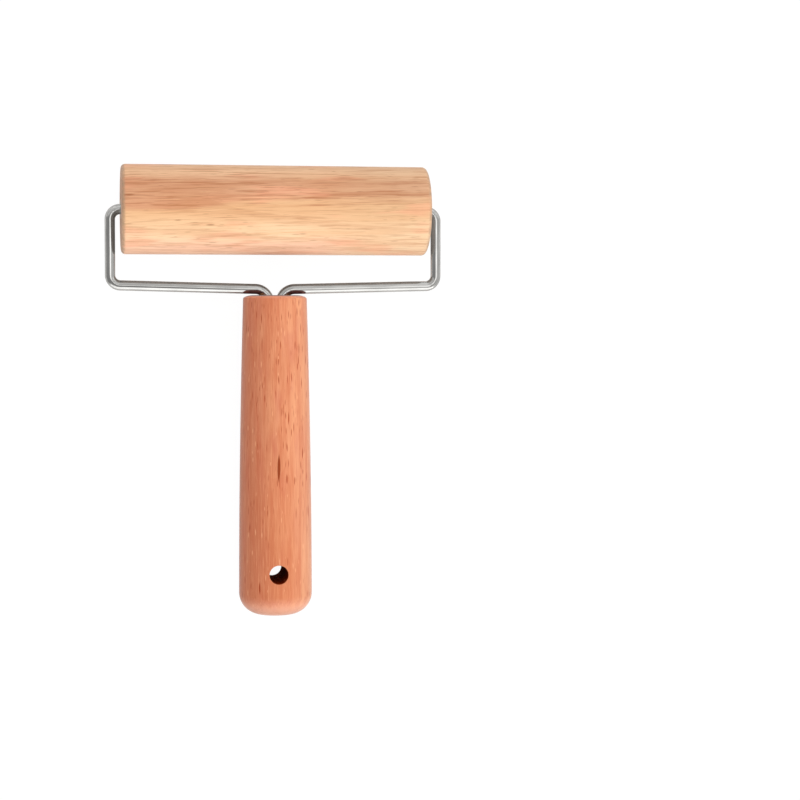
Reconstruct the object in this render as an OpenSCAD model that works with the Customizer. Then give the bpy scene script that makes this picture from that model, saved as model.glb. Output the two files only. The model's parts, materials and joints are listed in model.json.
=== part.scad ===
// Hand roller. A wooden roller turns on the stub ends of two bent wires, whose tails are
// set side by side in a turned wooden handle. All sizes are in millimetres.
// It is drawn as it lies on a table: the roller and the handle's wide end both touch Z = 0,
// +X runs along the roller, and the handle points along -Y.

/* [Roller] */
// Diameter of the roller
roller_d = 35; // [28:0.5:45]
// Length of the roller
roller_l = 120; // [80:1:160]
// Rounding of the roller's two rims
rim_round = 1.7; // [0.5:0.1:3]

/* [Bushes] */
// Wall of the sleeve in each end of the roller
bush_wall = 2; // [1.5:0.1:3]
// Length of that sleeve
bush_l = 18; // [14:1:24]
// Chamfer at the sleeve's mouth, where the stub end goes in
bush_mouth = 0.8; // [0.3:0.1:1.2]

/* [Wire yoke] */
// Diameter of the wire
wire_d = 4; // [3:0.1:5]
// Gap between the roller's end face and the leg beside it
leg_gap = 2.25; // [1.8:0.05:4]
// Gap between the roller and the run of wire behind it, at the corner
run_gap = 10; // [6:0.5:20]
// Slope of each run towards the handle, in degrees
run_slope = 1.4; // [0.5:0.1:6]
// Centreline radius of the two corner bends of each wire
corner_bend = 4; // [3.5:0.1:4.8]
// Centreline radius of the bend into the handle
entry_bend = 5.6; // [4.5:0.1:7]
// How far each stub end reaches into the roller
stub_l = 16; // [10:1:20]
// How far each tail reaches into the handle
tail_l = 45; // [30:1:60]
// Space between the two tails
tail_gap = 0.4; // [0.2:0.1:1]

/* [Handle] */
// Length of the handle
handle_l = 126; // [90:1:150]
// Diameter of the handle at the wire end
handle_top_d = 25; // [23:0.5:27.5]
// Diameter of the handle at the wide end
handle_end_d = 28.8; // [28:0.2:34]
// Rounding of the wide end
end_round = 8.6; // [4:0.2:11]
// Rounding of the rim at the wire end
top_round = 1; // [0.5:0.1:2]
// Diameter of the hanging hole
hang_hole_d = 7.4; // [5:0.2:10]
// Height of the hanging hole's centre above the wide end
hang_hole_up = 17; // [14:0.5:30]
// Margin around the wires at the countersunk mouth of the socket
mouth_margin = 0.8; // [0.4:0.1:1.5]

/* [Fits] */
// Radial running clearance between a stub end and its sleeve
stub_clearance = 0.05; // [0.02:0.01:0.08]
// Radial clearance between a sleeve and its hole in the roller
bush_seat = 0.02; // [0.01:0.01:0.05]
// Gap between the wires and the handle's top face
seat_gap = 0.3; // [0.1:0.1:1]
// Thickness of adhesive between the tails and the socket's wall
glue_wall = 0.3; // [0.2:0.1:0.6]
// Gap drawn between the set adhesive and what it bonds to
glue_line = 0.02; // [0.01:0.01:0.05]

/* [Hidden] */
$fn = 96;
roller_r = roller_d / 2;
wire_r = wire_d / 2;
bush_r = wire_r + bush_wall;
bush_hole_spare = 1;
bush_hole_l = bush_l + bush_hole_spare;
stub_chamfer = 0.5;
cut_past = 1;

// The yoke, in the plane of the roller's axis and the handle's axis. Lengths are kept to a
// hundredth, so that each bend ends exactly where the next straight begins.
function hundredth(v) = round(v * 100) / 100;
leg_x = roller_l / 2 + leg_gap + wire_r;
corner_y = roller_r + run_gap + wire_r;
turn = 90 - run_slope;
leg_end_y = hundredth(corner_y - corner_bend * tan(turn / 2));
tail_x = tail_gap / 2 + wire_r;
run_l = hundredth((leg_x - tail_x) / cos(run_slope) - (corner_bend + entry_bend) * tan(turn / 2));
entry_y = corner_y + (leg_x - tail_x) * tan(run_slope);
tail_start_y = entry_y + entry_bend * tan(turn / 2);
bend_thinning = 0.01;
bend_lap = 0.05;

// The handle, as distances from the roller's axis. Its side bows outwards, and is parallel to
// the handle's axis at the wide end.
top_y = hundredth(entry_y + wire_r + seat_gap);
end_y = top_y + handle_l;
top_r = handle_top_d / 2;
end_r = handle_end_d / 2;
function side_r(y) = end_r - (end_r - top_r) * pow((end_y - y) / handle_l, 2);
top_arc_y = top_y + top_round;
top_arc_r = hundredth(side_r(top_arc_y) - top_round);
end_arc_y = end_y - end_round;
end_arc_r = end_r - end_round;
side_steps = 12;
hang_y = end_y - hang_hole_up;
tail_straight_l = hundredth(top_y + tail_l - tail_start_y);

// The socket for the two tails, with a countersunk mouth that clears the bends.
socket_r = tail_gap / 2 + wire_d + glue_wall;
socket_spare = 2;
socket_l = tail_l + socket_spare;
resin_drop = 0.3;
bend_drop = tail_start_y - top_y;
bend_inner = entry_bend - wire_r;
mouth_bend_x = tail_x + entry_bend - sqrt(max(0, pow(bend_inner, 2) - pow(bend_drop, 2)));
mouth_r = hundredth(mouth_bend_x + mouth_margin);
mouth_l = mouth_r - socket_r;

// Lying down: the tilt about the roller's axis that rests the wide end on the table.
rest_reach = sqrt(pow(end_arc_y, 2) + pow(end_arc_r, 2));
rest_tilt = asin((roller_r - end_round) / rest_reach) - atan2(end_arc_r, end_arc_y);
far_y = end_arc_y * cos(rest_tilt) + end_arc_r * sin(rest_tilt) + end_round;
shift_y = (far_y - roller_r) / 2;

// Moves what is drawn around the roller's axis to where it lies on the table.
module lie_down() {
    translate([0, shift_y, roller_r]) rotate([rest_tilt, 0, 0]) children();
}

// A bend of wire around the origin, swept anticlockwise from start. Wire thins a little where
// it is bent, so the ends of a bend sit just inside the straights that they run into.
module bend(bend_r, start, sweep, r) {
    rotate_extrude(start = start, angle = sweep)
        translate([bend_r, 0])
            circle(r = r - bend_thinning);
}

// A straight of wire along +Z, carried a little way into the bends at its ends.
module straight(length, r) {
    translate([0, 0, -bend_lap]) cylinder(r = r, h = length + 2 * bend_lap);
}

// The right-hand wire. A positive grow gives the space it needs in the adhesive.
module wire(grow = 0) {
    r = wire_r + grow;
    stub_end = roller_l / 2 - stub_l;
    arc_x = leg_x - corner_bend;
    translate([stub_end, 0, 0]) rotate([0, 90, 0]) {
        cylinder(r1 = r - stub_chamfer, r2 = r, h = stub_chamfer);
        translate([0, 0, stub_chamfer])
            cylinder(r = r, h = arc_x - stub_end - stub_chamfer + bend_lap);
    }
    translate([arc_x, -corner_bend, 0]) bend(corner_bend, 0, 90, r);
    translate([leg_x, -corner_bend, 0])
        rotate([90, 0, 0]) straight(leg_end_y - corner_bend, r);
    translate([arc_x, -leg_end_y, 0]) {
        bend(corner_bend, -turn, turn, r);
        rotate([0, 0, run_slope]) {
            translate([0, -corner_bend, 0]) rotate([0, -90, 0]) straight(run_l, r);
            translate([-run_l, -corner_bend - entry_bend, 0]) {
                bend(entry_bend, 90, turn, r);
                rotate([0, 0, -run_slope]) translate([-entry_bend, bend_lap, 0])
                    rotate([90, 0, 0]) cylinder(r = r, h = tail_straight_l + bend_lap + grow);
            }
        }
    }
}

// The right-hand sleeve, flush with the roller's end face.
module bush() {
    bore_r = wire_r + stub_clearance;
    translate([roller_l / 2 - bush_l, 0, 0])
        rotate([0, 90, 0])
            difference() {
                cylinder(r = bush_r, h = bush_l);
                translate([0, 0, -cut_past]) cylinder(r = bore_r, h = bush_l + 2 * cut_past);
                translate([0, 0, bush_l - bush_mouth])
                    cylinder(r1 = bore_r, r2 = bore_r + bush_mouth, h = bush_mouth);
            }
}

// Half of the roller's outline, as radius and distance along the axis.
module roller_outline() {
    translate([0, -roller_l / 2]) square([roller_r - rim_round, roller_l]);
    translate([0, rim_round - roller_l / 2]) square([roller_r, roller_l - 2 * rim_round]);
    for (end = [-1, 1])
        translate([roller_r - rim_round, end * (roller_l / 2 - rim_round)])
            circle(r = rim_round);
}

// Half of the handle's outline, as radius and distance from the roller's axis.
module handle_outline() {
    step = (end_arc_y - top_arc_y) / side_steps;
    bow = [for (i = [1:side_steps - 1]) [side_r(top_arc_y + i * step), top_arc_y + i * step]];
    polygon(concat(
        [[0, top_y], [top_arc_r, top_y], [top_arc_r, top_arc_y], [top_arc_r + top_round, top_arc_y]],
        bow,
        [[end_r, end_arc_y], [end_arc_r, end_arc_y], [end_arc_r, end_y], [0, end_y]]
    ));
    intersection() {
        translate([end_arc_r, end_arc_y]) circle(r = end_round);
        translate([end_arc_r, end_arc_y]) square(end_round);
    }
    intersection() {
        translate([top_arc_r, top_arc_y]) circle(r = top_round);
        translate([top_arc_r, top_y]) square(top_round);
    }
}

// The socket and its countersunk mouth, from lip above the handle's top face. The adhesive that
// fills it is drawn smaller by inset.
module socket(inset, lip) {
    translate([0, 0, top_y - lip]) {
        cylinder(r = socket_r - inset, h = socket_l + lip - inset);
        cylinder(r1 = mouth_r + lip - inset, r2 = socket_r - inset, h = mouth_l + lip);
    }
}

module roller() {
    color([0.80, 0.60, 0.42])
        lie_down()
            rotate([0, 90, 0])
                difference() {
                    rotate_extrude() roller_outline();
                    for (end = [0, 180])
                        rotate([end, 0, 0])
                            translate([0, 0, roller_l / 2 - bush_hole_l])
                                cylinder(r = bush_r + bush_seat, h = bush_hole_l + cut_past);
                }
}

module right_bush() {
    color([0.93, 0.92, 0.88]) lie_down() bush();
}

module left_bush() {
    color([0.93, 0.92, 0.88]) lie_down() mirror([1, 0, 0]) bush();
}

module right_arm() {
    color([0.78, 0.78, 0.80]) lie_down() wire();
}

module left_arm() {
    color([0.78, 0.78, 0.80]) lie_down() mirror([1, 0, 0]) wire();
}

module handle() {
    color([0.82, 0.50, 0.35])
        lie_down()
            difference() {
                rotate([90, 0, 0]) rotate_extrude() handle_outline();
                rotate([90, 0, 0]) socket(0, cut_past);
                translate([0, -hang_y, -end_r - cut_past])
                    cylinder(d = hang_hole_d, h = handle_end_d + 2 * cut_past);
            }
}

module socket_resin() {
    color([0.72, 0.58, 0.36])
        lie_down()
            difference() {
                rotate([90, 0, 0]) socket(glue_line, -resin_drop);
                wire(glue_line);
                mirror([1, 0, 0]) wire(glue_line);
            }
}

roller();
left_bush();
right_bush();
left_arm();
right_arm();
handle();
socket_resin();
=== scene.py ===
"""Looks of a wooden hand roller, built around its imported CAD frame.

Lengths are in metres, but a material counts in millimetres. Pieces are drawn in the tool's own
frame, as it is held upright: the origin is the middle of the roller's axis, +X runs along the
roller, the handle points along -Y and +Z faces the viewer. LYING turns and lifts that frame to
where the tool lies on a table.
"""

import json
import math
from collections import namedtuple

import bmesh
import bpy
from mathutils import Matrix, Vector


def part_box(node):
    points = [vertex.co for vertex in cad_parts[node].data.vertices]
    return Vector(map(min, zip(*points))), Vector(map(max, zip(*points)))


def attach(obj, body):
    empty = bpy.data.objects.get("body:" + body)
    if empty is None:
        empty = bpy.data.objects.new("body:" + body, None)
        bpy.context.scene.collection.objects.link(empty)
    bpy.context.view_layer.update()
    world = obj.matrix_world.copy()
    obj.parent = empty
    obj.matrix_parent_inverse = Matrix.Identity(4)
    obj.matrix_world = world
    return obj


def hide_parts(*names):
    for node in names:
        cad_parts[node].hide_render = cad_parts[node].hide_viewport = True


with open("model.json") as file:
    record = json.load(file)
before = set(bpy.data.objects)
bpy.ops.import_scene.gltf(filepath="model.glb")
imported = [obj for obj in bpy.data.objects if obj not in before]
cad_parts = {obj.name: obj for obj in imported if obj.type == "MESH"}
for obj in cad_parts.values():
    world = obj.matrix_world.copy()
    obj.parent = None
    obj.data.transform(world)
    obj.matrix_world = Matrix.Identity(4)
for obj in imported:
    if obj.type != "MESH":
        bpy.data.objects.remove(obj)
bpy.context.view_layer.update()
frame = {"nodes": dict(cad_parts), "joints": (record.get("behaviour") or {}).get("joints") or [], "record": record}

MM = 0.001
QUARTER = math.pi / 2

# ---------------------------------------------------------------- sizes, from the frame

ROLLER_LOW, ROLLER_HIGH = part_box("roller")
ROLLER_R = (ROLLER_HIGH.z - ROLLER_LOW.z) / 2
ROLLER_HALF = (ROLLER_HIGH.x - ROLLER_LOW.x) / 2
AXIS = Vector(frame["joints"][0]["pos_m"])
HANG_HOLE = frame["record"]["mounts"][0]
REST_TILT = math.asin(-HANG_HOLE["axis"][1])
LYING = Matrix.Translation(AXIS) @ Matrix.Rotation(REST_TILT, 4, "X")

# Sizes that no box gives, as the CAD source has them.
RIM_ROUND = 1.7 * MM
BUSH_L, BUSH_R, BUSH_BORE, BUSH_MOUTH = 18 * MM, 4.0 * MM, 2.05 * MM, 0.8 * MM
BUSH_HOLE_L, BUSH_HOLE_R = 19 * MM, 4.02 * MM
WIRE_R, STUB_CHAMFER = 2.0 * MM, 0.5 * MM
STUB_L, LEG_X, LEG_END = 16 * MM, 64.25 * MM, 25.6 * MM
CORNER_BEND, ENTRY_BEND, RUN_SLOPE = 4.0 * MM, 5.6 * MM, math.radians(1.4)
RUN_L, TAIL_L = 52.7 * MM, 41.84 * MM
TOP_Y, HANDLE_L = 33.32 * MM, 126 * MM
TOP_R, END_R, END_ROUND = 12.5 * MM, 14.4 * MM, 8.6 * MM
SOCKET_R, SOCKET_L, MOUTH_R = 4.5 * MM, 47 * MM, 6.88 * MM
END_Y = TOP_Y + HANDLE_L
HOLE_R = HANG_HOLE["dims"]["r_mm"] * MM
HOLE_Y = -(LYING.inverted() @ Vector(HANG_HOLE["pos_m"])).y

# Small edges that only these meshes have.
BUSH_HOLE_EASE, BUSH_EASE = 0.25 * MM, 0.2 * MM
HOLE_EASE, SOCKET_LIP = 0.15 * MM, 0.3 * MM
TOP_RIM_DEPTH, TOP_RIM_WIDTH = 1.5 * MM, 4.2 * MM

# How finely the round pieces are divided. The hanging hole goes through a patch in each side of
# the handle, PATCH_HALF above and below it and PATCH_TURNS of the HANDLE_TURNS to each side.
ROLLER_TURNS, BUSH_TURNS, WIRE_TURNS, HANDLE_TURNS = 144, 64, 48, 160
PATCH_TURNS, PATCH_ROWS, PATCH_HALF = 13, 26, 7.2 * MM


def srgb(red, green, blue):
    """A colour as it is seen, 0 to 255 a channel, as the linear colour that shaders take."""
    linear = [
        c / 12.92 if c <= 0.04045 else ((c + 0.055) / 1.055) ** 2.4
        for c in (red / 255, green / 255, blue / 255)
    ]
    return (*linear, 1.0)


# ---------------------------------------------------------------- shader graphs


class Graph:
    """The nodes of a material or of the world. Each call adds nodes and returns what they
    give, except that node() returns the node itself."""

    def __init__(self, owner, output):
        owner.use_nodes = True
        self.owner = owner
        self.tree = owner.node_tree
        self.tree.nodes.clear()
        self.output = self.node(output)

    def node(self, kind, inputs=(), **settings):
        made = self.tree.nodes.new("ShaderNode" + kind)
        for key, value in settings.items():
            setattr(made, key, value)
        for key, value in dict(inputs).items():
            if isinstance(value, bpy.types.NodeSocket):
                self.tree.links.new(value, made.inputs[key])
            elif value is not None:
                made.inputs[key].default_value = value
        return made

    def math(self, operation, a, b=None, c=None):
        return self.node("Math", {0: a, 1: b, 2: c}, operation=operation).outputs[0]

    def plus(self, a, b):
        return self.math("ADD", a, b)

    def minus(self, a, b):
        return self.math("SUBTRACT", a, b)

    def times(self, a, b):
        return self.math("MULTIPLY", a, b)

    def line(self, value, slope, start):
        """The value times slope, plus start."""
        return self.math("MULTIPLY_ADD", value, slope, start)

    def vector(self, operation, a, b=None):
        made = self.node("VectorMath", {0: a, 1: b}, operation=operation)
        return made.outputs["Value" if operation == "LENGTH" else "Vector"]

    def parts(self, vector):
        made = self.node("SeparateXYZ", {0: vector})
        return made.outputs[0], made.outputs[1], made.outputs[2]

    def join(self, x, y, z):
        return self.node("CombineXYZ", {0: x, 1: y, 2: z}).outputs[0]

    def noise(self, vector, stretch, detail=2.0, roughness=0.5):
        """Noise from about 0.3 to 0.7, with stretch features to a millimetre on each axis."""
        scaled = self.vector("MULTIPLY", vector, stretch)
        made = self.node(
            "TexNoise",
            {"Vector": scaled, "Scale": 1.0, "Detail": detail, "Roughness": roughness},
        )
        return made.outputs["Fac"]

    def cells(self, vector, stretch):
        """Voronoi cells, stretch of them to a millimetre: the distance and a random colour."""
        scaled = self.vector("MULTIPLY", vector, stretch)
        made = self.node("TexVoronoi", {"Vector": scaled, "Scale": 1.0})
        return made.outputs["Distance"], made.outputs["Color"]

    def band(self, value, low, high, start=0.0, end=1.0):
        """Value smoothly mapped from low..high to start..end, and held there beyond."""
        made = self.node(
            "MapRange",
            {"Value": value, 1: low, 2: high, 3: start, 4: end},
            interpolation_type="SMOOTHSTEP",
        )
        return made.outputs[0]

    def mix(self, share, a, b):
        return self.node("Mix", {0: share, 6: a, 7: b}, data_type="RGBA").outputs[2]

    def coats(self, colour, *layers):
        """The colour under layers that are laid over it in turn, each a share and a tint."""
        for share, tint in layers:
            colour = self.mix(share, colour, tint)
        return colour

    def bump(self, height, depth):
        """A bump whose height of 1 is depth metres."""
        return self.node("Bump", {"Height": height, "Distance": depth}).outputs[0]

    def surface(self, colour, roughness, normal, fixed):
        """The finished material. The fixed values stay on the shader's own sockets."""
        varied = {"Base Color": colour, "Roughness": roughness, "Normal": normal}
        return self.finish(self.node("BsdfPrincipled", {**varied, **fixed}))

    def finish(self, shader):
        self.tree.links.new(shader.outputs[0], self.output.inputs["Surface"])
        return self.owner


def material_graph(name):
    return Graph(bpy.data.materials.new(name), "OutputMaterial")


def place_in_mm(g):
    """The point on the piece, in its own frame, in millimetres."""
    point = g.node("TexCoord").outputs["Object"]
    return g.vector("MULTIPLY", point, (1 / MM, 1 / MM, 1 / MM))


def off_x_axis(g, y, z):
    return g.vector("LENGTH", g.join(0.0, y, z))


# ---------------------------------------------------------------- wood

# A wood's fine fibres, streaks, broad clouds, blushes of colour and its growth rings' dark late
# wood, each from 0 to 1.
Grain = namedtuple("Grain", "fibre streak cloud blush late_wood")

WOOD_BUMP = 0.05 * MM
OILED = {"IOR": 1.45, "Specular IOR Level": 0.4, "Sheen Roughness": 0.35}


def growth_rings(g, place, pith, lean, spacing):
    """How far into a year's growth ring a point lies, 0 to 1. The pith leans away from the
    grain, which draws the rings out into long arches, and the rings wander a little."""
    across, along, depth = g.parts(place)
    wander = g.noise(place, (0.05, 0.006, 0.05), detail=2)
    off_pith = g.join(
        g.plus(g.minus(across, pith[0]), g.times(wander, 14.0)),
        0.0,
        g.line(along, lean, g.minus(depth, pith[1])),
    )
    return g.math("FRACT", g.math("DIVIDE", g.vector("LENGTH", off_pith), spacing))


def ray_flecks(g, place, cell, share, size):
    """Beech's ray flecks: 1 in the middle of a fleck, 0 off it. Place has the grain along Y."""
    distance, chance = g.cells(place, tuple(1 / length for length in cell))
    pick, length, _ = g.parts(chance)
    chosen = g.math("LESS_THAN", pick, share)
    reach = g.line(length, size, size * 0.6)
    inside = g.band(g.math("DIVIDE", distance, reach), 0.35, 1.0, 1.0, 0.0)
    return g.times(inside, chosen)


def shaded_in_mirror(g, colour, dull, share):
    """The wood's colour, and a darker, greyer one as painted shade where it is only seen mirrored in the wires."""
    mirrored = g.node("LightPath").outputs["Is Glossy Ray"]
    return g.mix(g.times(mirrored, share), colour, dull)


# ---------------------------------------------------------------- the handle's beech


def handle_grain(g, place):
    rings = growth_rings(g, place, pith=(8.0, -34.0), lean=0.07, spacing=3.4)
    return Grain(
        fibre=g.noise(place, (2.6, 0.10, 2.6), detail=5, roughness=0.65),
        streak=g.noise(place, (0.50, 0.018, 0.50), detail=4, roughness=0.6),
        cloud=g.noise(place, (0.075, 0.030, 0.075), detail=3),
        blush=g.noise(place, (0.16, 0.045, 0.16), detail=2),
        late_wood=g.band(rings, 0.55, 0.95),
    )


def handle_wood(g, x, y, grain):
    """Plain reddish beech, deeper low down, with painted shade left of the middle and painted light at the right.
    """
    deeper = g.band(y, -128.0, -84.0, 0.50, 0.0)
    # Painted shade: left of the middle darker and redder, where the light is weaker.
    shade_left = g.band(g.line(grain.cloud, 14.0, x), 0.0, 4.5, 0.42, 0.0)
    # Painted light: the right side paler, most towards the wide end.
    paler = g.band(g.line(grain.cloud, 5.0, x), 6.5, 13.0)
    paler = g.times(paler, g.band(y, -140.0, -70.0, 0.42, 0.15))
    return g.coats(
        g.mix(g.band(grain.cloud, 0.36, 0.64), srgb(216, 136, 96), srgb(228, 153, 111)),
        (g.band(grain.blush, 0.50, 0.64, 0.0, 0.45), srgb(206, 116, 90)),
        (deeper, srgb(206, 116, 72)),
        # Painted shade at the left, then painted light at the right.
        (shade_left, srgb(202, 112, 82)),
        (paler, srgb(250, 190, 148)),
        (g.band(grain.streak, 0.42, 0.66, 0.0, 0.55), srgb(204, 112, 74)),
        (g.times(grain.late_wood, 0.20), srgb(204, 104, 70)),
        (g.band(grain.fibre, 0.48, 0.70, 0.0, 0.34), srgb(244, 176, 132)),
        (g.band(grain.fibre, 0.34, 0.46, 0.28, 0.0), srgb(196, 100, 62)),
    )


def handle_flecks(g, place):
    """The shares of dark flecks and of pale ones, which sway with the grain."""
    bent = g.noise(place, (0.35, 0.05, 0.35), detail=2)
    swayed = g.vector("ADD", place, g.join(g.times(g.minus(bent, 0.5), 1.6), 0.0, 0.0))
    crowd = g.band(g.noise(place, (0.10, 0.035, 0.10), detail=2), 0.40, 0.56, 0.35, 1.0)
    fine = ray_flecks(g, swayed, (0.8, 6.5, 1.3), share=0.66, size=0.26)
    coarse = ray_flecks(g, swayed, (1.3, 13.0, 2.0), share=0.38, size=0.19)
    dark = g.math("MAXIMUM", g.times(fine, 0.64), g.times(coarse, 0.90))
    elsewhere = g.vector("ADD", swayed, (31.0, 17.0, 5.0))
    pale = ray_flecks(g, elsewhere, (1.1, 6.0, 1.7), share=0.35, size=0.2)
    return g.times(dark, crowd), g.times(pale, 0.45)


def gum_streak(g, place, fibre):
    """One dark gum streak above the hanging hole, on the face only."""
    above_hole = 41.5
    half_width, half_length, half_depth = 0.75, 6.4, 3.0
    middle = (0.0, -(HOLE_Y / MM - above_hole), END_R / MM)
    scale = (1 / half_width, 1 / half_length, 1 / half_depth)
    from_middle = g.vector("SUBTRACT", place, middle)
    reach = g.vector("LENGTH", g.vector("MULTIPLY", from_middle, scale))
    return g.band(g.plus(reach, g.minus(fibre, 0.5)), 0.55, 1.0, 0.95, 0.0)


def handle_ends(g, x, y, z, streak):
    """The shares of wood worn pale by handling, of painted shade that darkens the wide end's tip, and of painted
    shade that darkens the top face at the wires."""
    off_axis = g.vector("LENGTH", g.join(x, 0.0, z))
    from_top, from_end = g.plus(y, TOP_Y / MM), g.plus(y, END_Y / MM)
    top_r = TOP_R / MM
    top_rim = g.times(g.band(from_top, -1.6, -0.2), g.band(off_axis, top_r - 2.4, top_r - 0.6))
    worn = g.math("MAXIMUM", g.times(top_rim, 0.5), g.band(from_end, 1.5, 8.5, 0.58, 0.0))
    worn = g.times(worn, g.band(streak, 0.30, 0.60, 0.60, 1.0))
    # Painted shade: the last few millimetres of the wide end, where it rounds over towards the table.
    tip_shade = g.band(from_end, 1.0, 5.0, 0.42, 0.0)
    # Painted shade: the top face inside its rim, dark as if little light reached it.
    inside_rim = g.band(off_axis, top_r - 2.2, top_r - 0.9, 1.0, 0.0)
    return worn, tip_shade, g.times(g.band(from_top, -0.9, -0.1), inside_rim)


def handle_material():
    """Reddish beech, oiled, with short dark flecks along the grain."""
    g = material_graph("handle_beech")
    place = place_in_mm(g)
    x, y, z = g.parts(place)
    grain = handle_grain(g, place)
    flecks, pale_flecks = handle_flecks(g, place)
    worn, tip_shade, top_face_shade = handle_ends(g, x, y, z, grain.streak)
    colour = g.coats(
        handle_wood(g, x, y, grain),
        (flecks, srgb(168, 62, 20)),
        (pale_flecks, srgb(252, 190, 146)),
        (gum_streak(g, place, grain.fibre), srgb(144, 54, 0)),
        (worn, srgb(255, 194, 166)),
        # Painted shade at the wide end's tip.
        (tip_shade, srgb(196, 140, 116)),
        # Painted shade on the top face at the wires.
        (top_face_shade, g.mix(grain.late_wood, srgb(104, 46, 32), srgb(76, 32, 24))),
    )
    # Painted shade: the handle dark and dull where the wires mirror it.
    colour = shaded_in_mirror(g, colour, srgb(96, 52, 52), 0.9)

    gloss = g.plus(g.line(grain.streak, 0.24, 0.44), g.times(flecks, 0.10))
    gloss = g.minus(gloss, g.times(worn, 0.10))
    normal = g.bump(g.line(flecks, -0.9, grain.fibre), WOOD_BUMP)
    return g.surface(colour, gloss, normal, {**OILED, "Sheen Weight": 0.42})


def bore_material():
    """The hanging hole's drilled wall: dry end grain, darkened as painted shade and paler near the mouths as
    painted light, with the drill's rings.
    """
    g = material_graph("drilled_wall")
    place = place_in_mm(g)
    _, _, z = g.parts(place)
    char = g.noise(place, (0.9, 0.9, 0.5), detail=3)
    # Painted light: the wall paler near each mouth, where light gets in.
    mouth_light = g.band(g.math("ABSOLUTE", z), END_R / MM - 1.4, END_R / MM - 0.5)
    # Painted shade: the wall's dark browns stand for the shade inside the hole as well as the end grain's own
    # colour.
    colour = g.coats(
        g.mix(g.band(char, 0.35, 0.65), srgb(120, 32, 4), srgb(152, 56, 12)),
        (g.times(mouth_light, 0.6), srgb(160, 76, 36)),
    )
    drill_rings = g.math("SINE", g.times(z, 9.0))
    normal = g.bump(g.line(drill_rings, 0.3, char), 0.1 * MM)
    fixed = {"IOR": 1.4, "Specular IOR Level": 0.03}
    return g.surface(colour, g.line(char, 0.3, 0.6), normal, fixed)


# ---------------------------------------------------------------- the roller's beech


def roller_grain(g, place, rings):
    return Grain(
        fibre=g.noise(place, (2.8, 0.060, 2.8), detail=5, roughness=0.65),
        streak=g.noise(place, (0.50, 0.018, 0.50), detail=4, roughness=0.62),
        cloud=g.noise(place, (0.07, 0.020, 0.07), detail=2),
        blush=g.noise(place, (0.16, 0.030, 0.16), detail=2),
        late_wood=g.band(rings, 0.62, 0.96),
    )


def heart_share(g, x, y, ragged):
    """The share of heart. It ends along a line that climbs to the right and frays there into
    streaks."""
    above = g.plus(g.minus(y, g.band(x, -44.0, 4.0, -1.2, 4.2)), ragged)
    softness = g.band(x, -25.0, 25.0, 1.0, 3.2)
    return g.band(g.math("DIVIDE", above, softness), -1.0, 1.0)


def cream_wood(g, x, y, grain):
    """Cream sapwood, darker towards the middle and pinker low down, except at the right."""
    pink = g.band(g.line(grain.cloud, 6.0, y), -12.0, -7.0, 0.7, 0.0)
    return g.coats(
        g.mix(g.band(grain.cloud, 0.36, 0.62), srgb(242, 198, 154), srgb(249, 213, 172)),
        (g.band(grain.streak, 0.52, 0.70, 0.0, 0.50), srgb(236, 178, 130)),
        (g.band(y, -8.0, -1.0, 0.0, 0.75), srgb(229, 176, 128)),
        (g.times(pink, g.band(x, 12.0, 40.0, 1.0, 0.15)), srgb(252, 200, 172)),
    )


def red_wood(g, x, y, grain, ragged):
    """Reddish heart, darker at the left and in one deep band, paler along its upper edge."""
    risen = g.line(grain.streak, 6.0, y)
    deep = g.band(g.plus(y, ragged), 3.0, 9.5)
    deep = g.times(deep, g.band(risen, 12.0, 16.0, 1.0, 0.0))
    return g.coats(
        g.mix(g.band(grain.cloud, 0.36, 0.64), srgb(218, 157, 117), srgb(230, 177, 140)),
        (g.band(grain.streak, 0.48, 0.64, 0.0, 0.72), srgb(198, 132, 92)),
        (g.band(x, -60.0, 10.0, 0.40, 0.0), srgb(202, 136, 96)),
        (g.band(risen, 12.5, 17.0, 0.0, 0.72), srgb(246, 202, 160)),
        (g.times(deep, 0.40), srgb(204, 140, 100)),
    )


def roller_figure(g, place, grain, heart):
    """Layers of fine figure: blushes, late wood, drawn lines, hairs and fibres."""
    lines = g.noise(place, (1.4, 0.050, 1.4), detail=3, roughness=0.5)
    hairs = g.noise(place, (2.5, 0.080, 2.5), detail=2)
    drawn = g.times(g.band(lines, 0.54, 0.63), g.line(heart, 0.28, 0.30))
    return (
        (g.band(grain.blush, 0.52, 0.66, 0.0, 0.45), srgb(244, 168, 132)),
        (g.times(grain.late_wood, 0.22), srgb(196, 132, 88)),
        (drawn, srgb(180, 112, 70)),
        (g.band(hairs, 0.59, 0.67, 0.0, 0.36), srgb(180, 114, 74)),
        (g.band(grain.fibre, 0.50, 0.72, 0.0, 0.30), srgb(252, 212, 166)),
        (g.band(grain.fibre, 0.30, 0.45, 0.38, 0.0), srgb(196, 130, 86)),
    )


def roller_flecks(g, place):
    fine = ray_flecks(g, place, (0.85, 8.0, 6.0), share=0.40, size=0.20)
    coarse = ray_flecks(g, place, (2.0, 11.0, 6.0), share=0.14, size=0.18)
    return g.math("MAXIMUM", g.times(fine, 0.40), g.times(coarse, 0.62))


def roller_ends(g, x, off_axis):
    """The shares of the sawn end faces and of the rounded rims around them."""
    from_middle = g.math("ABSOLUTE", x)
    half, radius = ROLLER_HALF / MM, ROLLER_R / MM
    flat_r = (ROLLER_R - RIM_ROUND) / MM
    end_face = g.times(
        g.band(from_middle, half - 0.25, half - 0.05),
        g.band(off_axis, flat_r - 0.1, radius - 0.9, 1.0, 0.0),
    )
    rim = g.times(
        g.band(from_middle, half - RIM_ROUND / MM, half - 0.5),
        g.band(off_axis, flat_r, radius - 0.7),
    )
    return end_face, rim


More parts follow.
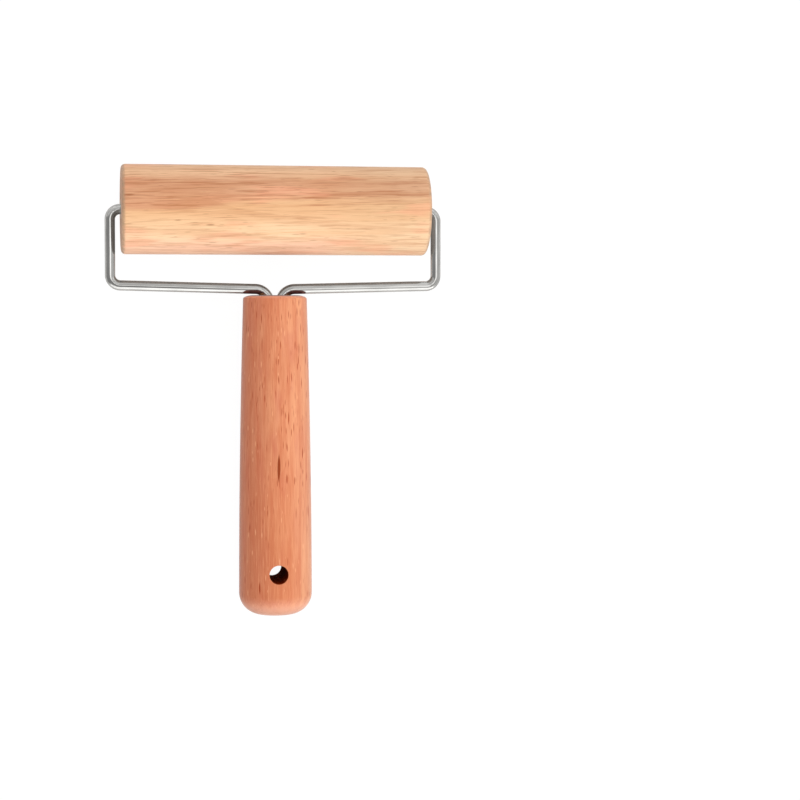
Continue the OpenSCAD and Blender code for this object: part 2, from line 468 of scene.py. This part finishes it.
def roller_material():
    """Beech with its grain along the roller: reddish heart on one side, cream on the other.
    The sawn end faces are darker than the side, and the rims carry a little grime."""
    g = material_graph("roller_beech")
    x, y, z = g.parts(place_in_mm(g))
    place = g.join(g.line(x, -0.025, y), x, z)
    rings = growth_rings(g, place, pith=(-8.0, -70.0), lean=0.04, spacing=4.2)
    grain = roller_grain(g, place, rings)
    ragged = g.times(g.minus(grain.streak, 0.5), g.band(x, -30.0, 30.0, 3.0, 16.0))
    heart = heart_share(g, x, y, ragged)
    flecks = roller_flecks(g, place)
    off_axis = off_x_axis(g, y, z)
    end_face, rim = roller_ends(g, x, off_axis)
    ring_share = g.band(rings, 0.4, 1.0, 0.1, 0.7)
    grime = g.times(rim, g.band(grain.streak, 0.40, 0.60, 0.45, 0.85))
    colour = g.coats(
        g.mix(heart, cream_wood(g, x, y, grain), red_wood(g, x, y, grain, ragged)),
        (g.band(x, 10.0, 45.0, 0.0, 0.17), srgb(206, 184, 150)),
        *roller_figure(g, place, grain, heart),
        (flecks, srgb(158, 96, 58)),
        (g.times(end_face, 0.8), g.mix(ring_share, srgb(226, 172, 132), srgb(190, 136, 96))),
        (grime, srgb(184, 152, 124)),
    )
    # Painted shade: the roller dark and grey where the wires mirror it.
    colour = shaded_in_mirror(g, colour, srgb(146, 145, 143), 0.92)

    gloss = g.plus(g.line(grain.streak, 0.24, 0.44), g.times(end_face, 0.14))
    gloss = g.minus(gloss, g.times(rim, 0.12))
    saw_rings = g.times(g.math("SINE", g.times(off_axis, 5.2)), end_face)
    height = g.plus(g.line(flecks, -0.9, grain.fibre), g.times(saw_rings, 0.25))
    fixed = {**OILED, "Sheen Weight": 0.15}
    return g.surface(colour, gloss, g.bump(height, WOOD_BUMP), fixed)


# ---------------------------------------------------------------- steel, nylon and adhesive


def steel_material():
    """Polished drawn wire: fine lines along it, and a duller skin where it was bent."""
    g = material_graph("polished_wire")
    unbent = g.node("Attribute", attribute_name="unbent").outputs["Vector"]
    bent = g.node("Attribute", attribute_name="bent").outputs["Fac"]
    drawn = g.noise(unbent, (7.0, 7.0, 0.05), detail=3, roughness=0.7)
    smear = g.noise(unbent, (0.8, 0.8, 0.12), detail=3, roughness=0.6)
    grip = g.noise(unbent, (2.4, 2.4, 1.6), detail=3, roughness=0.6)
    scuffs = g.times(bent, g.band(grip, 0.48, 0.62))
    colour = g.coats(
        g.mix(g.band(smear, 0.35, 0.65), srgb(224, 223, 220), srgb(208, 207, 204)),
        (g.times(scuffs, 0.35), srgb(160, 158, 154)),
    )
    gloss = g.plus(g.line(smear, 0.08, 0.05), g.times(scuffs, 0.16))
    height = g.plus(g.times(drawn, 0.5), g.times(scuffs, 0.8))
    return g.surface(colour, gloss, g.bump(height, 0.004 * MM), {"Metallic": 1.0})


def nylon_material():
    """Turned white nylon, greyed by the steel around its bore."""
    g = material_graph("white_nylon")
    place = place_in_mm(g)
    _, y, z = g.parts(place)
    off_axis = off_x_axis(g, y, z)
    cloud = g.noise(place, (0.5, 0.5, 0.5), detail=3)
    specks = g.noise(place, (5.0, 5.0, 5.0), detail=2)
    rubbed = g.band(off_axis, BUSH_BORE / MM, BUSH_BORE / MM + 0.9, 0.8, 0.0)
    rubbed = g.times(rubbed, g.band(cloud, 0.34, 0.60, 0.5, 1.0))
    colour = g.coats(
        g.mix(g.band(cloud, 0.38, 0.62), srgb(240, 238, 228), srgb(226, 223, 210)),
        (rubbed, srgb(150, 147, 140)),
    )
    tool_marks = g.math("SINE", g.times(off_axis, 24.0))
    normal = g.bump(g.line(tool_marks, 0.3, specks), 0.012 * MM)
    return g.surface(colour, g.line(specks, 0.25, 0.34), normal, {"IOR": 1.53})


def resin_material():
    """Set amber adhesive, glossy and cloudy, with a few pale bubbles."""
    g = material_graph("amber_resin")
    place = place_in_mm(g)
    cloud = g.noise(place, (0.35, 0.35, 0.35), detail=3)
    distance, chance = g.cells(place, (1.3, 1.3, 1.3))
    pick, _, _ = g.parts(chance)
    bubble = g.times(g.band(distance, 0.12, 0.2, 1.0, 0.0), g.band(pick, 0.7, 0.72))
    colour = g.coats(
        g.mix(g.band(cloud, 0.35, 0.65), srgb(150, 100, 56), srgb(118, 74, 38)),
        (g.times(bubble, 0.5), srgb(196, 156, 104)),
    )
    normal = g.bump(g.plus(g.times(bubble, 0.6), cloud), 0.12 * MM)
    return g.surface(colour, g.line(cloud, 0.16, 0.06), normal, {"IOR": 1.55})


# ---------------------------------------------------------------- mesh helpers


def skin(bm, rings, closed=False):
    """Joins rings of vertices, each as long as the last, with four-sided faces."""
    pairs = list(zip(rings, rings[1:])) + ([(rings[-1], rings[0])] if closed else [])
    for low, high in pairs:
        for i in range(len(low)):
            j = (i + 1) % len(low)
            bm.faces.new((low[i], low[j], high[j], high[i]))


def fan(bm, ring, tip):
    """Closes a ring of vertices with triangles that meet at tip."""
    top = bm.verts.new(tip)
    for i, vert in enumerate(ring):
        bm.faces.new((vert, ring[(i + 1) % len(ring)], top))


def arc(centre, radius, start, end, steps):
    """Points on an arc, both ends included. Angles are from the first coordinate's axis."""
    angles = [start + (end - start) * i / steps for i in range(steps + 1)]
    return [
        (centre[0] + radius * math.cos(a), centre[1] + radius * math.sin(a)) for a in angles
    ]


def between(start, end, steps):
    """The points strictly between two points."""
    return [
        tuple(a + (b - a) * i / steps for a, b in zip(start, end)) for i in range(1, steps)
    ]


def full_turn(steps):
    return [2 * math.pi * i / steps for i in range(steps)]


def ring_about_x(bm, x, radius, steps):
    return [
        bm.verts.new((x, radius * math.cos(a), radius * math.sin(a))) for a in full_turn(steps)
    ]


def link(name, data):
    """A new object in the scene."""
    made = bpy.data.objects.new(name, data)
    bpy.context.scene.collection.objects.link(made)
    return made


def piece(name, bm, body, node, material):
    """Makes the piece that stands for a CAD node, with faces outwards and smooth."""
    bmesh.ops.recalc_face_normals(bm, faces=bm.faces)
    mesh = bpy.data.meshes.new(name)
    bm.to_mesh(mesh)
    bm.free()
    mesh.shade_smooth()
    mesh.materials.append(material)
    made = link(name, mesh)
    made.matrix_world = LYING
    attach(made, body)
    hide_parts(node)
    return made


# ---------------------------------------------------------------- roller and bushes


def build_roller(material):
    """The roller, with rounded rims and a blind hole in each end for its bush."""
    flat_end = ROLLER_R - RIM_ROUND
    hole_floor = ROLLER_HALF - BUSH_HOLE_L
    hole_mouth = (ROLLER_HALF - BUSH_HOLE_EASE, BUSH_HOLE_R)
    half = [(hole_floor, BUSH_HOLE_R)]
    half += between(half[-1], hole_mouth, 12)
    half += [hole_mouth, (ROLLER_HALF, BUSH_HOLE_R + BUSH_HOLE_EASE)]
    half += between(half[-1], (ROLLER_HALF, flat_end), 14)
    half += arc((ROLLER_HALF - RIM_ROUND, flat_end), RIM_ROUND, 0, QUARTER, 8)
    half += between(half[-1], (0, ROLLER_R), 20)
    outline = half + [(0, ROLLER_R)] + [(-x, r) for x, r in reversed(half)]
    bm = bmesh.new()
    rings = [ring_about_x(bm, x, r, ROLLER_TURNS) for x, r in outline]
    skin(bm, rings)
    fan(bm, rings[0], (hole_floor, 0, 0))
    fan(bm, rings[-1], (-hole_floor, 0, 0))
    piece("roller_wood", bm, "roller", "roller", material)


def build_bush(side, material):
    """A sleeve in one end of the roller, with a chamfered mouth and eased outer edges."""
    inner, outer = ROLLER_HALF - BUSH_L, ROLLER_HALF
    outline = [(inner, BUSH_R - BUSH_EASE), (inner + BUSH_EASE, BUSH_R)]
    outline += between(outline[-1], (outer - BUSH_EASE, BUSH_R), 10)
    outline += [(outer - BUSH_EASE, BUSH_R), (outer, BUSH_R - BUSH_EASE)]
    outline += [(outer, BUSH_BORE + BUSH_MOUTH), (outer - BUSH_MOUTH, BUSH_BORE)]
    outline += between(outline[-1], (inner + BUSH_EASE, BUSH_BORE), 10)
    outline += [(inner + BUSH_EASE, BUSH_BORE), (inner, BUSH_BORE + BUSH_EASE)]
    bm = bmesh.new()
    skin(bm, [ring_about_x(bm, side * x, r, BUSH_TURNS) for x, r in outline], closed=True)
    which = "right" if side > 0 else "left"
    piece(f"{which}_bush_sleeve", bm, "roller", f"{which}_bush", material)


# ---------------------------------------------------------------- handle


def handle_side(y):
    """The handle's radius at a distance from the roller's axis: it bows out to the wide end."""
    return END_R - (END_R - TOP_R) * ((END_Y - y) / HANDLE_L) ** 2


def handle_outline():
    """The handle from the middle of its wide end, round the mouth, to its socket's floor, as
    (distance from the roller's axis, radius), and the numbers of the patch's two end rows."""
    end_arc_y = END_Y - END_ROUND
    end_arc_r = handle_side(end_arc_y) - END_ROUND
    top_arc_y = TOP_Y + TOP_RIM_DEPTH
    top_arc_r = handle_side(top_arc_y) - TOP_RIM_WIDTH
    lip_r = MOUTH_R + SOCKET_LIP

    rows = between((END_Y, 0.0), (END_Y, end_arc_r), 7)
    end_arc = arc((end_arc_r, end_arc_y), END_ROUND, 0, QUARTER, 16)
    rows += [(y, r) for r, y in reversed(end_arc)]
    first = len(rows)
    patch = [
        HOLE_Y + PATCH_HALF - 2 * PATCH_HALF * i / PATCH_ROWS for i in range(PATCH_ROWS + 1)
    ]
    rows += [(y, handle_side(y)) for y in patch]
    last = len(rows) - 1
    upper = between((patch[-1], 0.0), (top_arc_y, 0.0), 48)
    rows += [(y, handle_side(y)) for y, _ in upper]
    rows += [
        (top_arc_y + TOP_RIM_DEPTH * y, top_arc_r + TOP_RIM_WIDTH * r)
        for r, y in arc((0, 0), 1, 0, -QUARTER, 14)
    ]
    rows += between(rows[-1], (TOP_Y, lip_r), 4)
    lip = arc((lip_r, TOP_Y + SOCKET_LIP), SOCKET_LIP, -QUARTER, -math.pi, 4)
    rows += [(y, r) for r, y in lip]
    rows += [(TOP_Y + MOUTH_R - SOCKET_R, SOCKET_R)]
    rows += between(rows[-1], (TOP_Y + SOCKET_L, SOCKET_R), 12)
    rows += [(TOP_Y + SOCKET_L, SOCKET_R)]
    return rows, first, last


def turned_surface(bm, rows, first, last, middles):
    """The handle without its two patches, which lie between rows first and last around the
    middles. Returns its vertices by row and turn, with None inside the patches."""

    def in_patch(i, j):
        near = min(abs(j - middle) for middle in middles)
        return first < i < last and near < PATCH_TURNS

    open_turns = {middle + j for middle in middles for j in range(-PATCH_TURNS, PATCH_TURNS)}
    turns = full_turn(HANDLE_TURNS)
    grid = [
        [
            None if in_patch(i, j) else bm.verts.new((r * math.cos(a), -y, r * math.sin(a)))
            for j, a in enumerate(turns)
        ]
        for i, (y, r) in enumerate(rows)
    ]
    for i in range(len(rows) - 1):
        for j in range(HANDLE_TURNS):
            if first <= i < last and j in open_turns:
                continue
            k = (j + 1) % HANDLE_TURNS
            bm.faces.new((grid[i][j], grid[i][k], grid[i + 1][k], grid[i + 1][j]))
    return grid


def hole_boundary(grid, first, last, middle):
    """The vertices round the patch that the hole goes through, in order."""
    left, right = middle - PATCH_TURNS, middle + PATCH_TURNS
    loop = [(i, left) for i in range(first, last)]
    loop += [(last, j) for j in range(left, right)]
    loop += [(i, right) for i in range(last, first, -1)]
    loop += [(first, j) for j in range(right, left, -1)]
    return [grid[i][j] for i, j in loop]


def hole_rim(bm, boundary, face):
    """Rings from a patch's boundary in to the hole's softened rim, and returns the last. Face is
    1 for the front and -1 for the back."""
    patch_steps, rim_steps = 7, 5
    turns = [math.atan2(-v.co.y - HOLE_Y, v.co.x) for v in boundary]
    rings = [boundary]
    rim_r = HOLE_R + HOLE_EASE

    def on_side(x, y, drop=0.0):
        lift = math.sqrt(handle_side(y) ** 2 - x * x) - drop
        return bm.verts.new((x, -y, face * lift))

    for step in range(1, patch_steps + 1):
        t = step / patch_steps
        rings.append(
            [
                on_side(
                    v.co.x * (1 - t) + rim_r * math.cos(a) * t,
                    -v.co.y * (1 - t) + (HOLE_Y + rim_r * math.sin(a)) * t,
                )
                for v, a in zip(boundary, turns)
            ]
        )
    for step in range(1, rim_steps + 1):
        lean = QUARTER * step / rim_steps
        r = HOLE_R + HOLE_EASE * (1 - math.sin(lean))
        drop = HOLE_EASE * (1 - math.cos(lean))
        rings.append(
            [on_side(r * math.cos(a), HOLE_Y + r * math.sin(a), drop) for a in turns]
        )
    skin(bm, rings)
    return rings[-1]


def lined_up(ring, model):
    """The ring, started and turned so that each vertex lies across the hole from the model's."""

    def apart(a, b):
        return (a.co.xy - b.co.xy).length

    start = min(range(len(ring)), key=lambda i: apart(ring[i], model[0]))
    ring = ring[start:] + ring[:start]
    if apart(ring[1], model[1]) > 0.01 * MM:
        ring = [ring[0]] + ring[:0:-1]
    return ring


def hole_wall(bm, front_rim, back_rim):
    """The drilled wall between the two rims, which takes the handle's second material."""
    steps = 12
    wall = [front_rim]
    for step in range(1, steps):
        t = step / steps
        wall.append([bm.verts.new(a.co.lerp(b.co, t)) for a, b in zip(front_rim, back_rim)])
    wall.append(back_rim)
    before = len(bm.faces)
    skin(bm, wall)
    bm.faces.ensure_lookup_table()
    for face in bm.faces[before:]:
        face.material_index = 1


def build_handle(material, wall_material):
    """The turned handle: bowed side, round end, countersunk socket and hanging hole."""
    rows, first, last = handle_outline()
    front, back = HANDLE_TURNS // 4, 3 * HANDLE_TURNS // 4
    bm = bmesh.new()
    grid = turned_surface(bm, rows, first, last, (front, back))
    fan(bm, grid[0], (0, -END_Y, 0))
    fan(bm, grid[-1], (0, -(TOP_Y + SOCKET_L), 0))
    front_rim = hole_rim(bm, hole_boundary(grid, first, last, front), 1)
    back_rim = hole_rim(bm, hole_boundary(grid, first, last, back)[::-1], -1)
    hole_wall(bm, front_rim, lined_up(back_rim, front_rim))
    made = piece("handle_wood", bm, "frame", "handle", material)
    made.data.materials.append(wall_material)


# ---------------------------------------------------------------- wires


def wire_path():
    """The right-hand wire's centreline: (x, y, heading, distance along, bent) at each ring.
    Bent rises to 1 in the first quarter of a bend and falls again in the last."""
    straight_step, bend_steps, rise = 2.5 * MM, 18, 4.0
    x, y, heading, run = ROLLER_HALF - STUB_L, 0.0, 0.0, 0.0
    path = [(x, y, heading, run, 0.0)]

    def forward(length):
        nonlocal x, y, run
        count = max(2, round(length / straight_step))
        for _ in range(count):
            x += math.cos(heading) * length / count
            y += math.sin(heading) * length / count
            run += length / count
            path.append((x, y, heading, run, 0.0))

    def turn(radius, angle):
        nonlocal x, y, heading, run
        side = math.copysign(1.0, angle)
        cx, cy = x - side * radius * math.sin(heading), y + side * radius * math.cos(heading)
        for i in range(bend_steps):
            heading += angle / bend_steps
            x = cx + side * radius * math.sin(heading)
            y = cy - side * radius * math.cos(heading)
            run += radius * abs(angle) / bend_steps
            bent = min(1.0, rise * min(i + 1, bend_steps - 1 - i) / bend_steps)
            path.append((x, y, heading, run, bent))

    forward(LEG_X - CORNER_BEND - x)
    turn(CORNER_BEND, -QUARTER)
    forward(LEG_END - CORNER_BEND)
    turn(CORNER_BEND, -(QUARTER - RUN_SLOPE))
    forward(RUN_L)
    turn(ENTRY_BEND, QUARTER - RUN_SLOPE)
    forward(TAIL_L)
    return path


def build_wire(side, material):
    """One bent wire with a chamfered stub end. Its vertices remember where they lay when it
    was straight, so that the drawn lines in its material follow the bends. The two wires were
    far apart then, so that their lines differ."""
    far_apart = 300
    bm = bmesh.new()
    unbent = bm.verts.layers.float_vector.new("unbent")
    bent = bm.verts.layers.float.new("bent")

    def ring(x, y, heading, run, bend, radius):
        made = []
        for a in full_turn(WIRE_TURNS):
            out, up = radius * math.cos(a), radius * math.sin(a)
            vert = bm.verts.new(
                (side * (x - out * math.sin(heading)), y + out * math.cos(heading), up)
            )
            vert[unbent] = (out / MM, up / MM, run / MM + far_apart * side)
            vert[bent] = bend
            made.append(vert)
        return made

    path = wire_path()
    x, y, heading, run, _ = path[0]
    rings = [ring(*path[0], WIRE_R - STUB_CHAMFER)]
    rings.append(ring(x + STUB_CHAMFER, y, heading, run + STUB_CHAMFER, 0.0, WIRE_R))
    rings += [ring(*point, WIRE_R) for point in path[1:]]
    skin(bm, rings)
    fan(bm, rings[0], (side * x, y, 0))
    fan(bm, rings[-1], (side * path[-1][0], path[-1][1], 0))
    which = "right" if side > 0 else "left"
    piece(f"{which}_wire", bm, "frame", f"{which}_arm", material)


# ---------------------------------------------------------------- studio

WHITE = (1, 1, 1, 1)

# White panels overhead that only the wires mirror, each from low to high in the x and y of the
# direction that it is seen in, with a strength.
MIRRORED_PANELS = (
    ((-0.10, -0.06), (0.40, 0.10), 1.10),
    ((-0.60, 0.74), (0.60, 0.92), 0.30),
    ((0.10, -0.42), (0.30, -0.08), 0.75),
    ((0.10, 0.10), (0.30, 0.62), 0.25),
)


def floor_material():
    """A white table that keeps a faint shadow, and shows through from below. The wires mirror
    it grey. To bounced light it is greyer still, with a little glow of its own, so that the
    tool's underside isn't black."""
    g = material_graph("white_table")
    path = g.node("LightPath").outputs
    seen, bounced = path["Is Camera Ray"], path["Is Diffuse Ray"]
    tint = g.mix(bounced, (0.95, 0.95, 0.94, 1), (0.42, 0.42, 0.41, 1))
    tint = g.mix(path["Is Glossy Ray"], tint, (0.60, 0.60, 0.60, 1))
    matt = g.node("BsdfDiffuse", {"Color": tint}).outputs[0]
    glow = g.node("Emission", {"Color": WHITE, "Strength": g.times(bounced, 0.16)}).outputs[0]
    matt = g.node("AddShader", {0: matt, 1: glow}).outputs[0]
    white = g.node("Emission", {"Color": WHITE, "Strength": 1.03}).outputs[0]
    table = g.node("MixShader", {0: g.times(seen, 0.93), 1: matt, 2: white}).outputs[0]
    below = g.times(g.node("NewGeometry").outputs["Backfacing"], seen)
    clear = g.node("BsdfTransparent").outputs[0]
    return g.finish(g.node("MixShader", {0: below, 1: table, 2: clear}))


def build_floor():
    bm = bmesh.new()
    bmesh.ops.create_grid(bm, x_segments=8, y_segments=8, size=4.0)
    mesh = bpy.data.meshes.new("table_top")
    bm.to_mesh(mesh)
    bm.free()
    mesh.materials.append(floor_material())
    floor = link("table_top", mesh)


def room_light(g, x, y):
    """The soft room that lights the tool, bright at the right and in front."""
    side = g.band(x, -0.85, 0.85, 0.34, 0.76)
    front = g.band(y, -0.85, -0.40, 1.00, 0.0)
    back = g.band(y, 0.25, 0.90, 0.0, 0.12)
    return g.plus(side, g.plus(front, back))


def panel(g, x, y, z, low, high, strength):
    """A soft-edged oblong of light overhead, from low to high in x and y."""
    soft = 0.05
    sides = []
    for value, start, end in ((x, low[0], high[0]), (y, low[1], high[1])):
        sides.append(g.band(value, start - soft, start + soft))
        sides.append(g.band(value, end - soft, end + soft, 1.0, 0.0))
    inside = g.times(g.times(sides[0], sides[1]), g.times(sides[2], sides[3]))
    inside = g.times(inside, g.math("GREATER_THAN", z, 0.0))
    return g.times(inside, strength)


def mirrored_room(g, x, y, z):
    """The room that the wires mirror: grey walls, paler at the right and behind and bright in
    front, under white panels."""
    level = g.plus(0.28, g.band(x, 0.38, 0.55, 0.0, 0.26))
    level = g.plus(level, g.band(y, 0.12, 0.32, 0.0, 0.30))
    level = g.plus(level, g.band(y, -0.72, -0.58, 1.15, 0.0))
    for low, high, strength in MIRRORED_PANELS:
        level = g.plus(level, panel(g, x, y, z, low, high, strength))
    return level


def build_world():
    """White to the camera, one room to light the tool, and another for the wires to mirror."""
    world = bpy.data.worlds.new("studio")
    bpy.context.scene.world = world
    g = Graph(world, "OutputWorld")
    path = g.node("LightPath").outputs
    x, y, z = g.parts(g.node("TexCoord").outputs["Generated"])
    level = g.mix(path["Is Glossy Ray"], room_light(g, x, y), mirrored_room(g, x, y, z))
    room = g.node("Background", {"Color": WHITE, "Strength": level}).outputs[0]
    white = g.node("Background", {"Color": WHITE, "Strength": 1.0}).outputs[0]
    seen = g.math("MAXIMUM", path["Is Camera Ray"], path["Is Transmission Ray"])
    g.finish(g.node("MixShader", {0: seen, 1: room, 2: white}))


def lamp(name, place, size, power):
    """A soft box that faces the middle of the tool."""
    light = bpy.data.lights.new(name, "AREA")
    light.shape = "RECTANGLE"
    light.size, light.size_y = size
    light.energy = power
    made = link(name, light)
    made.location = place
    made.rotation_mode = "QUATERNION"
    made.rotation_quaternion = (-Vector(place)).to_track_quat("-Z", "Y")
    made.visible_camera = False
    made.visible_glossy = False


def build_lamps():
    lamp("key", place=(1.25, -0.30, 0.95), size=(1.1, 0.9), power=5.0)
    lamp("back_fill", place=(-0.10, 1.35, 0.80), size=(1.5, 0.6), power=4.6)
    lamp("front_fill", place=(0.0, -1.35, 0.55), size=(1.5, 0.5), power=2.0)
    lamp("overhead", place=(0.0, 0.28, 1.55), size=(0.60, 0.60), power=5.7)


def build_camera():
    """The photograph's view, as turns and a move that bring the tool before the lens."""
    camera = bpy.data.cameras.new("camera")
    camera.sensor_width = 36.0
    camera.lens = 91.93
    made = link("camera", camera)
    before_lens = Matrix.Translation((-49.239 * MM, 74.569 * MM, -803.02 * MM))
    for axis, degrees in (("Z", -0.05), ("X", 2.73), ("Y", 9.334)):
        before_lens @= Matrix.Rotation(math.radians(degrees), 4, axis)
    made.matrix_world = LYING @ before_lens.inverted()
    bpy.context.scene.camera = made


# ---------------------------------------------------------------- the scene

build_roller(roller_material())
build_handle(handle_material(), bore_material())
NYLON, STEEL = nylon_material(), steel_material()
for SIDE in (-1, 1):
    build_bush(SIDE, NYLON)
    build_wire(SIDE, STEEL)
RESIN = frame["nodes"]["socket_resin"]
RESIN.material_slots[0].material = resin_material()

build_floor()
build_world()
build_lamps()
build_camera()
bpy.context.scene.view_settings.view_transform = "Standard"
